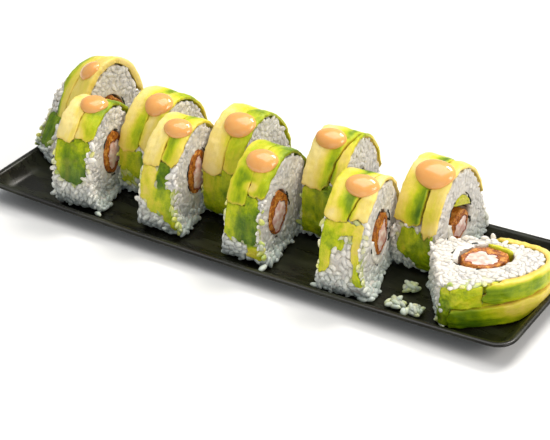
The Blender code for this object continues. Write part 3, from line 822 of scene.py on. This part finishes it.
def strip_piece(cut, side, material):
    """Strip of avocado bent over the rice, cut square at its sides and worn thin at its ends."""
    cover = COVERS[cut.number]
    first, last = cover.spans[side]
    seed = cut.number * 2 + side
    rows = round((last - first) * ROUND / 0.5) + 12

    def place(u, v):
        share, opened = run(v, 2.0 / rows)
        degrees = blend(first, last, share)
        slot = slot_place(cut, degrees)
        low = strip_low(cut, degrees)
        high = cut.thickness / 2
        if side == 0:
            high = slot - cover.gap * MM / 2
        else:
            low = slot + cover.gap * MM / 2
        wide = max(high - low, 1.5 * MM)
        worn = smooth(min(share, 1 - share) * (last - first) / 14.0)
        spot = rounded_box(u, wide, 1.0 * MM, 0.3 * MM)
        x_share = spot.x / wide + 0.5
        top = smooth(spot.y / MM + 0.5)
        along = (low + high) / 2 + spot.x * opened
        x = along / MM
        ragged = 4.0 * ripple(x, 0.0, 4.2, seed + 40) + 1.6 * ripple(x, 0.0, 1.3, seed + 41)
        ragged -= 4.0 * abs(2 * x_share - 1) ** 3
        degrees += ragged * (1 - worn) * (1 if share > 0.5 else -1)
        y = degrees * ROUND
        push = ripple(y, spot.y / MM, 4.5, seed + 60) * 0.6 + ripple(y, 2.0, 1.4, seed) * 0.2
        along += push * MM * smooth(abs(x_share - 0.5) * 4 - 1) * opened
        deep = strip_deep(cut, along) * (0.45 + 0.55 * worn)
        crown = -0.45 * (2 * x_share - 1) ** 4
        lumps = ripple(x, y, 7.0, seed) * 0.5 + ripple(x, y, 2.4, seed) * 0.18
        groove = ripple(x * 2.2, y * 0.2, 1.6, seed + 9) * 0.12
        lift = min((crown + lumps + groove) * MM, 0.35 * MM)
        lift -= deep * (1 - blend(0.5, 0.5 + spot.y / MM, opened))
        point = above_plate(placed(along, arch_offset(degrees, cut, lift), cut), GAP)
        ripe = read_points(cover.tones, x) + field(cover.stains, along, degrees)
        ripe += 0.12 * ripple(x, y, 9.0, seed + 20) + 0.08 * ripple(x * 1.6, y * 0.4, 2.2, seed + 21)
        wall = smooth((abs(spot.x) - wide / 2 + 0.5 * MM) / (0.4 * MM)) * (1.15 - top)
        inner = 1.0 if (side == 0) == (spot.x > 0) or cut.number in LYING else 0.25
        end = smooth(1.3 - (1 - share) * (last - first) / 2.4) if share > 0.5 else 0.0
        edge = clamp(max(wall * inner, end * 0.5, 1 - opened))
        return point, (ripe, edge, 0.3 * (1 - worn), x, y)

    node = f"avocado_{SIDE_NAMES[side]}_{cut.number:02d}"
    return stand_in(node, "strip", (60, rows), place, BAND_MARKS, material)


def rice_lift(cut, along, degrees):
    """How deep the rice lies under the plain arch at a spot, as a negative lift."""
    if strip_covers(cut, along, degrees, -3.0):
        return -strip_deep(cut, along) - STRIP_CLEAR
    return -RICE_SUNK


def rice_outer(cut, along, degrees, lift):
    """Place along the slice, and across and up, of the rice's outside."""
    flat = arch_offset(degrees, cut, lift)
    if not strip_covers(cut, along, degrees):
        flat.x += rice_foot(along, flat, cut)
    reach = along
    if abs(along) > cut.thickness * 0.3:
        share = (abs(along) / cut.thickness - 0.3) / 0.2
        reach += math.copysign(rice_spread(along, flat, cut) * share, along)
    return reach, flat


MASH_DEEP = 2.0 * MM
MASH_INSET = 1.0 * MM


def mash_piece(cut, material):
    """Avocado pressed on the rice below the strips, torn at its edges, where it goes in under the grains."""
    smears = COVERS[cut.number].smears
    first = min(mark[1] - mark[3] * 1.3 for mark in smears)
    last = max(mark[1] + mark[3] * 1.3 for mark in smears)
    seed = cut.number + 100
    rows = round((last - first) * ROUND / 0.5) + 6
    wide = cut.thickness - 2 * MASH_INSET

    def place(u, v):
        share, opened = run(v, 2.0 / rows)
        spot = rounded_box(u, wide, MASH_DEEP, 0.6 * MM)
        along = spot.x * opened
        degrees = blend(first, last, share)
        level, ripe = smear_at(cut, along, degrees)
        x = along / MM
        y = degrees * ROUND
        rough = ripple(x, y, 3.4, seed) * 0.45 + ripple(x, y, 1.4, seed) * 0.22
        rough += ripple(x, y, 8.0, seed + 5) * 0.4
        lift = -0.5 * MM - 3.6 * MM * (1 - smooth(level * 1.7)) + rough * MM
        if strip_covers(cut, along, degrees, -1.0):
            lift = min(lift, -1.6 * MM) - 1.0 * MM
        lift = min(lift, 0.2 * MM) + spot.y * opened - MASH_DEEP / 2
        point = above_plate(placed(*rice_outer(cut, along, degrees, lift), cut), GAP)
        ripe += 0.16 * ripple(x, y, 5.0, seed + 20) + 0.10 * ripple(x, y, 2.0, seed + 21)
        edge = 0.12 * smooth(ripple(x, y, 4.0, seed + 31) * 2.0 - 0.2)
        return point, (ripe, edge, 1.0, x, y)

    name = f"avocado_mash_{cut.number:02d}"
    mesh = wrapped(name, 100, rows, place, BAND_MARKS)
    return piece(name, mesh, material)


# Walk over the body of the rice: along its outside, in over one cut face, back through the hole, and out
# over the other face. First the place along it from -1 to 1, then how far in towards the hole
CORE_ALONG = ((0.0, -1.0), (0.4, 1.0), (0.6, 1.0), (0.8, -1.0), (1.0, -1.0))
CORE_INWARDS = ((0.0, 0.0), (0.4, 0.0), (0.6, 1.0), (0.8, 1.0), (1.0, 0.0))
CORE_FACE = 0.4


def rice_core_piece(cut, material):
    """Body of the rice under its grains: outside, both cut faces and the wall of the filling's hole."""
    end = cut.thickness / 2 - FACE_CORE

    def place(u, v):
        degrees = 360.0 * v
        along = end * read_points(CORE_ALONG, u)
        share = read_points(CORE_INWARDS, u)
        x = along / MM
        y = degrees * ROUND
        rounding = 0.9 * MM * smooth((abs(along) - end + 2.0 * MM) / (2.0 * MM))
        lift = rice_lift(cut, along, degrees) - FOOT_SUNK - rounding
        lift += (0.4 * ripple(x, y, 4.0, cut.number) + 0.2 * ripple(x, y, 1.6, cut.number)) * MM
        reach, flat = rice_outer(cut, along, degrees, lift)
        flat = blend(flat, hole_point(degrees, cut), share)
        across, up = flat / MM
        dents = ripple(across, up, 3.6, cut.number) * 0.3 + ripple(across, up, 1.5, 3) * 0.2
        reach = blend(reach, along, smooth(share * FACE_FADE))
        if u > CORE_FACE:
            reach += math.copysign(dents * MM, along)
        tint = smear_at(cut, along, degrees)[0] * (1 - share)
        return above_plate(placed(reach, flat, cut), GAP), (tint,)

    name = f"rice_core_{cut.number:02d}"
    mesh = wrapped(name, 70, 130, place, ("tint",))
    return piece(name, mesh, material)


NEIGHBOURS = [(i, j, k) for i in (-1, 0, 1) for j in (-1, 0, 1) for k in (-1, 0, 1)]


def spaced(samples, spacing):
    """Those of the samples that keep their distance from the ones before them."""
    kept = {}
    found = []
    for sample in samples:
        key = tuple(math.floor(part / spacing) for part in sample.point)
        near = [kept.get((key[0] + i, key[1] + j, key[2] + k), ()) for i, j, k in NEIGHBOURS]
        if any((sample.point - other).length < spacing for group in near for other in group):
            continue
        kept.setdefault(key, []).append(sample.point)
        found.append(sample)
    return found


def face_samples(cut, draw):
    """Spots on the two cut faces, where the knife has pressed the grains flat, but for those at the foot."""
    for index in range(FACE_TRIES * 2):
        sign = 1.0 if index % 2 else -1.0
        degrees = draw.uniform(0.0, 360.0) if index % 5 < 3 else draw.uniform(190.0, 350.0)
        share = 1 - draw.uniform(0.0, 1.0) ** 0.6
        along = sign * cut.thickness / 2
        inside = UNDER_STRIP if strip_covers(cut, along, degrees, 4.0) else UNDER_BARE
        reach, flat = rice_outer(cut, along, degrees, rice_lift(cut, along, degrees) - inside)
        flat = blend(flat, hole_point(degrees, cut, -1.3 * MM), share)
        loose = clamp(1 - flat.y / LOOSE_TOP) if cut.number not in LYING else 0.25
        push = draw.uniform(-0.3, 0.08) * MM + loose * draw.uniform(-0.2, 0.8) * MM
        reach = blend(reach, along, smooth(share * FACE_FADE)) + sign * (push - FACE_SUNK)
        normal = (cut.place.to_3x3() @ Vector((sign, 0.0, 0.0))).normalized()
        tint = smear_at(cut, along, degrees)[0] * clamp(1 - share * 4)
        yield Grain(placed(reach, flat, cut), normal, blend(0.5, 0.95, loose), loose, tint)


def foot_samples(cut, draw):
    """Spots outside, below the strips, where whole grains stand out unless avocado is pressed on them."""
    half = cut.thickness / 2
    for index in range(FOOT_TRIES):
        degrees = draw.uniform(140.0, 400.0)
        along = draw.uniform(-half, half)
        level = smear_at(cut, along, degrees)[0]
        if level > COVERED or strip_covers(cut, along, degrees, 1.0):
            continue
        sunk = draw.uniform(0.7, 1.4) * MM + level * 0.8 * MM
        spot = rice_outer(cut, along, degrees, rice_lift(cut, along, degrees) - sunk)
        normal = (cut.place.to_3x3() @ Vector((0.0, *arch_normal(degrees, cut)))).normalized()
        yield Grain(placed(*spot, cut), normal, 0.8, 0.8, min(level * 1.9, 1.0))


def grain_shape():
    """One grain, plump in the middle and a little bent, a unit long and a unit across."""
    shape = bmesh.new()
    bmesh.ops.create_icosphere(shape, subdivisions=2, radius=0.5)
    points = np.array([vert.co[:] for vert in shape.verts])
    shape.verts.ensure_lookup_table()
    faces = np.array([[vert.index for vert in face.verts] for face in shape.faces])
    shape.free()
    points[:, 2] += 0.14 * (0.25 - points[:, 0] ** 2)
    points[:, 1] *= 1.0 + 0.16 * points[:, 0]
    return points, faces


GRAIN_POINTS, GRAIN_FACES = grain_shape()


def grain_mesh(name, grains, draw):
    """All grains of a piece in one mesh, with a random tone each."""
    points = []
    tones = []
    tints = []
    painted_shade_levels = []
    for grain in grains:
        normal = grain.normal
        side = normal.orthogonal().normalized()
        turn = Matrix.Rotation(draw.uniform(0.0, math.pi * 2), 3, normal)
        tangent = turn @ side
        tilt = Matrix.Rotation(draw.gauss(0.0, 0.10 + 0.34 * grain.lift), 3, normal.cross(tangent))
        tangent = tilt @ tangent
        up = tilt @ normal
        across = up.cross(tangent)
        length = GRAIN_LENGTH * draw.uniform(0.78, 1.12)
        width = GRAIN_WIDTH * draw.uniform(0.86, 1.12)
        axes = np.array([tangent * length, across * width, up * width * grain.flat])
        spot = GRAIN_POINTS @ axes + np.array(grain.point)
        floor = plate_top(grain.point.x, grain.point.y) + GAP
        spot[:, 2] += max(floor - spot[:, 2].min(), 0.0)
        spot += np.maximum(np.array(cad_box[0]) - spot.min(axis=0), 0.0)
        points.append(spot)
        count = len(GRAIN_POINTS)
        tones += [draw.random()] * count
        tints += [grain.tint] * count
        # Painted shade level for the rice's finish: 1 on the plate, fading to 0 at the height where the
        # painted shade ends
        painted_shade_levels += [clamp(1 - (grain.point.z - PLATE_FLOOR) / PAINTED_SHADE_TOP)] * count
    mesh = bpy.data.meshes.new(name)
    steps = np.arange(len(points)) * len(GRAIN_POINTS)
    faces = (GRAIN_FACES[None, :, :] + steps[:, None, None]).reshape(-1, 3)
    mesh.from_pydata(np.concatenate(points).tolist(), [], faces.tolist())
    for mark, values in (("tone", tones), ("tint", tints), ("low", painted_shade_levels)):
        mesh.attributes.new(mark, "FLOAT", "POINT").data.foreach_set("value", values)
    return mesh


def rice_grain_piece(cut, material):
    draw = random.Random(cut.number * 31)
    faces = spaced(face_samples(cut, draw), FACE_SPACING)
    foot = spaced(foot_samples(cut, draw), FOOT_SPACING)
    name = f"rice_grains_{cut.number:02d}"
    mesh = grain_mesh(name, faces + foot, draw)
    return piece(name, mesh, material, (f"rice_{cut.number:02d}",))


def loose_rice_piece(number, material):
    """A low heap of a few grains."""
    x, y, count, seed = LOOSE[number]
    draw = random.Random(seed)
    grains = []
    for index in range(count * 2):
        around = 2 * math.pi * index / count + draw.uniform(-0.3, 0.3)
        low = index < count
        reach = HEAP_RADIUS * (draw.uniform(0.8, 1.4) if low else draw.uniform(0.1, 0.7))
        spot = Vector((x + reach * math.cos(around), y + reach * math.sin(around), 0.0))
        lift = draw.uniform(0.4, 0.6) if low else draw.uniform(0.7, 1.0)
        spot.z = plate_top(spot.x, spot.y) + GAP + GRAIN_WIDTH * lift
        grains.append(Grain(spot, Vector((0.0, 0.0, 1.0)), 0.95, 0.5, draw.uniform(0.3, 0.6)))
    name = f"loose_grains_{number}"
    return piece(name, grain_mesh(name, grains, draw), material, (f"loose_rice_{number}",))


# Grains that lie alone on the plate, near the slices' feet: places in millimetres
STRAYS = ((16.6, -42.6), (-21.0, -13.6), (70.5, -41.0), (117.4, 35.0), (119.8, 33.6), (122.6, 35.8),
          (125.2, 33.2), (115.2, 32.8), (46.0, -43.2), (-83.4, -40.4), (88.6, 4.2), (92.0, -40.0))


def stray_grain_piece(material):
    draw = random.Random(5)
    grains = []
    for x, y in STRAYS:
        spot = Vector((x * MM, y * MM, 0.0))
        spot.z = plate_top(spot.x, spot.y) + GAP + GRAIN_WIDTH / 2
        grains.append(Grain(spot, Vector((0.0, 0.0, 1.0)), 0.9, 0.1, 0.2))
    return piece("stray_grains", grain_mesh("stray_grains", grains, draw), material)


# How far prawn and rods stay behind the cut faces, and how much of their mesh makes each face
PRAWN_SHORT = 0.3 * MM
PRAWN_FACE = 0.4
ROD_SHORT = 0.1 * MM
ROD_FACE = 0.3
ROD_SIZE = (96, 30)


def prawn_room(cut):
    """Middle and half sizes of the prawn in the hole, as the solid has it."""
    left = bottom = right = top = GAP
    if cut.number in FILLINGS:
        left, bottom, right, top = (side * MM for side in FILLINGS[cut.number].room)
    middle = hole_middle(cut) + Vector((left - right, bottom - top)) / 2
    size = cut.hole - Vector((left + right, bottom + top)) / 2
    return middle, size


def prawn_piece(cut, material):
    """Prawn in its crust, from one cut face to the other."""
    middle, size = prawn_room(cut)
    end = cut.thickness / 2 - PRAWN_SHORT

    def place(u, v):
        turn = 2 * math.pi * u
        along, share = rod_run(v, PRAWN_FACE, end)
        turned = Vector((math.cos(turn), math.sin(turn)))
        seed = cut.number * 3 + (0 if along < 0 else 50)
        uneven = 0.97 + 0.16 * noise.noise(Vector((turned.x, turned.y, cut.number * 1.7)) * 1.5)
        crumbs = 0.07 * noise.noise(Vector((turned.x, turned.y, along / MM * 0.1)) * 5.0)
        radius = min(uneven + crumbs, 1.03) * share
        flat = middle + Vector((size.x * turned.x, size.y * turned.y)) * radius
        inner = 0.68 + 0.10 * turned.x - 0.16 * turned.y
        inner += 0.30 * noise.noise(Vector((turned.x, turned.y, cut.number * 2.9)) * 1.6)
        inner = clamp(inner + 0.08 * noise.noise(turned.to_3d() * 5.0 + Vector((0, 0, seed))), 0.3, 0.9)
        crust = 0.5 + (share - inner) * 3.2
        bulge = 0.9 * (1 - (share / inner) ** 2) if share < inner else 0.0
        grit = ripple(flat.x / MM, flat.y / MM, 1.5, seed) * 0.55 if share > inner else 0.0
        dip = -0.5 * smooth(1 - abs(share - inner) / 0.08)
        if min(v, 1 - v) < PRAWN_FACE:
            along += math.copysign((bulge + grit + dip) * MM, along)
        return placed(along, flat, cut), (crust,)

    return stand_in(f"prawn_{cut.number:02d}", "fried", (96, 64), place, ("crust",), material)


# How far the sheet of nori is torn back from the cut faces, and how far it stands out, in millimetres
NORI_TORN = 1.8
NORI_PROUD = 0.35


def nori_piece(cut, material):
    """Sheet of nori round the filling, wavy and torn where the knife met it."""
    half = cut.thickness / 2

    def place(u, v):
        degrees = 360.0 * v
        turned = Vector((math.cos(math.radians(degrees)), math.sin(math.radians(degrees)), cut.number * 3.1))
        torn = noise.noise(turned * 2.6) + 0.5 * noise.noise(turned * 6.0)
        reach = half + blend(-NORI_TORN, NORI_PROUD, smooth((torn - 0.02) * 6)) * MM
        spot = rounded_box(u, 2 * reach, 0.5 * MM, 0.2 * MM)
        wave = noise.noise(turned * 3.4) * 0.8 + noise.noise(turned * 9.0) * 0.5
        outward = 0.45 * MM + spot.y + wave * MM
        flat = hole_point(degrees, cut, -outward)
        return placed(spot.x, flat, cut), ()

    name = f"nori_{cut.number:02d}"
    return piece(name, wrapped(name, 40, 150, place), material)


# Ripeness, edge and pressing of the avocado stick, which also serve the cheese, whose finish reads none
ROD_MARKS = (0.55, 0.15, 0.6)


def rod_place(cut, outline, seed, rough):
    """Places on a rod of the filling that runs through the slice and has an uneven outline."""
    end = cut.thickness / 2 - ROD_SHORT
    middle = sum(outline, Vector((0.0, 0.0))) / len(outline)
    count = len(outline)

    def place(u, v):
        walked = u * count
        index = int(walked) % count
        spot = blend(outline[index], outline[(index + 1) % count], walked - int(walked))
        along, share = rod_run(v, ROD_FACE, end)
        flat = blend(middle, spot, share)
        grit = ripple(flat.x / MM, flat.y / MM, 2.0, seed) * rough * MM
        along += math.copysign(grit, along) if min(v, 1 - v) < ROD_FACE else 0.0
        return placed(along, flat, cut), (*ROD_MARKS, flat.x / MM, flat.y / MM)

    return place


def hole_arc(arc, cut, inwards, steps):
    return [hole_point(blend(arc[0], arc[1], step / steps), cut, inwards) for step in range(steps + 1)]


def filling_rods(cut, cheese, avocado):
    """Cream cheese and the stick of avocado, in the slices that show them."""
    filling = FILLINGS.get(cut.number)
    if filling:
        outline = hole_arc(filling.cheese, cut, GAP, 14)
        outline += reversed(hole_arc(filling.cheese, cut, CHEESE_THICK, 14))
        place = rod_place(cut, outline, cut.number, 1.0)
        node = f"cream_cheese_{cut.number:02d}"
        stand_in(node, "soft", ROD_SIZE, place, BAND_MARKS, cheese)
    if filling and filling.stick:
        outline = hole_arc(filling.stick, cut, GAP, 24)
        place = rod_place(cut, outline, cut.number + 20, 0.6)
        node = f"avocado_stick_{cut.number:02d}"
        stand_in(node, "flesh", ROD_SIZE, place, BAND_MARKS, avocado)


def drop_piece(cut, material):
    """Dome of sauce with a soft foot that follows the avocado under it."""
    along, degrees, wide = DROPS[cut.number]
    radius = wide * MM / 2
    turn_per_metre = 4.0 / (arch_point(degrees + 2, cut) - arch_point(degrees - 2, cut)).length

    def place(u, v):
        turn = 2 * math.pi * u
        share = math.sin(math.pi / 2 * v / 0.7) if v < 0.7 else (1 - v) / 0.3
        turned = Vector((math.cos(turn), math.sin(turn), cut.number * 2.3))
        share_out = share * (1 + 0.05 * noise.noise(turned * 1.2))
        lift = DROP_CLEAR - 0.6 * MM
        if v < 0.7:
            dome = math.sqrt(max(1 - share ** 2.3, 0.0))
            lift = -0.4 * MM + (DROP_HEIGHT + 0.2 * MM) * dome
        x = along * MM + radius * share_out * turned.x
        bend = degrees + radius * DROP_SHORT[cut.number] * share_out * turned.y * turn_per_metre
        return placed(x, arch_offset(bend, cut, lift), cut), ()

    return stand_in(f"sauce_{cut.number:02d}", "drop", (72, 40), place, (), material)


# Stage

# Soft lights: place, size, power and colour
LIGHTS = {
    "window": ((0.14, 0.68, 0.98), (0.45, 0.35), 9.5, (1.0, 0.96, 0.9)),
    "overhead": ((-0.2, 0.1, 1.3), (1.0, 1.0), 9.0, (1.0, 0.99, 0.97)),
    "right": ((1.05, -0.15, 0.75), (0.7, 0.6), 7.5, (1.0, 0.95, 0.9)),
    "front": ((0.3, -1.0, 0.35), (0.8, 0.4), 0.8, (0.93, 0.97, 1.0)),
}
FLOOR_COLOUR = (0.82, 0.82, 0.81, 1.0)
SURROUND_COLOUR = (0.93, 0.96, 1.0, 1.0)
SURROUND_STRENGTH = 0.36


def add_camera():
    data = bpy.data.cameras.new("camera")
    data.lens = CAMERA_LENS
    data.sensor_width = CAMERA_SENSOR
    data.clip_start = 0.01
    camera = bpy.data.objects.new("camera", data)
    camera.location = CAMERA_PLACE
    camera.rotation_mode = "QUATERNION"
    camera.rotation_quaternion = (CAMERA_AIM - CAMERA_PLACE).to_track_quat("-Z", "Y")
    bpy.context.scene.collection.objects.link(camera)
    bpy.context.scene.camera = camera


def add_light(name, place, size, power, colour):
    data = bpy.data.lights.new(name, "AREA")
    data.shape = "RECTANGLE"
    data.size, data.size_y = size
    data.energy = power
    data.color = colour
    light = bpy.data.objects.new(name, data)
    light.location = place
    light.rotation_mode = "QUATERNION"
    light.rotation_quaternion = (-Vector(place)).to_track_quat("-Z", "Y")
    bpy.context.scene.collection.objects.link(light)


def add_stage():
    """Pale floor, an even pale surround and four soft lights."""
    shape = bmesh.new()
    bmesh.ops.create_grid(shape, x_segments=1, y_segments=1, size=4.0)
    mesh = bpy.data.meshes.new("floor")
    shape.to_mesh(mesh)
    shape.free()
    recipe = Recipe("pale_floor")
    mesh.materials.append(recipe.finish(Base_Color=FLOOR_COLOUR, Roughness=0.9))
    floor = bpy.data.objects.new("floor", mesh)
    bpy.context.scene.collection.objects.link(floor)
    world = bpy.data.worlds.new("surround")
    world.use_nodes = True
    surround = world.node_tree.nodes["Background"]
    surround.inputs["Color"].default_value = SURROUND_COLOUR
    surround.inputs["Strength"].default_value = SURROUND_STRENGTH
    bpy.context.scene.world = world
    bpy.context.scene.view_settings.view_transform = "Standard"
    for name, light in LIGHTS.items():
        add_light(name, *light)


def main():
    add_camera()
    add_stage()
    rice = rice_finish()
    core = rice_core_finish()
    avocado = avocado_finish()
    prawn = prawn_finish()
    nori = nori_finish()
    cheese = cheese_finish()
    sauce = sauce_finish()
    plate_piece(plate_finish())
    for cut in all_slices().values():
        rice_core_piece(cut, core)
        rice_grain_piece(cut, rice)
        strip_piece(cut, 0, avocado)
        strip_piece(cut, 1, avocado)
        mash_piece(cut, avocado)
        prawn_piece(cut, prawn)
        nori_piece(cut, nori)
        filling_rods(cut, cheese, avocado)
        if cut.number in DROPS:
            drop_piece(cut, sauce)
    for number in LOOSE:
        loose_rice_piece(number, rice)
    stray_grain_piece(rice)


main()
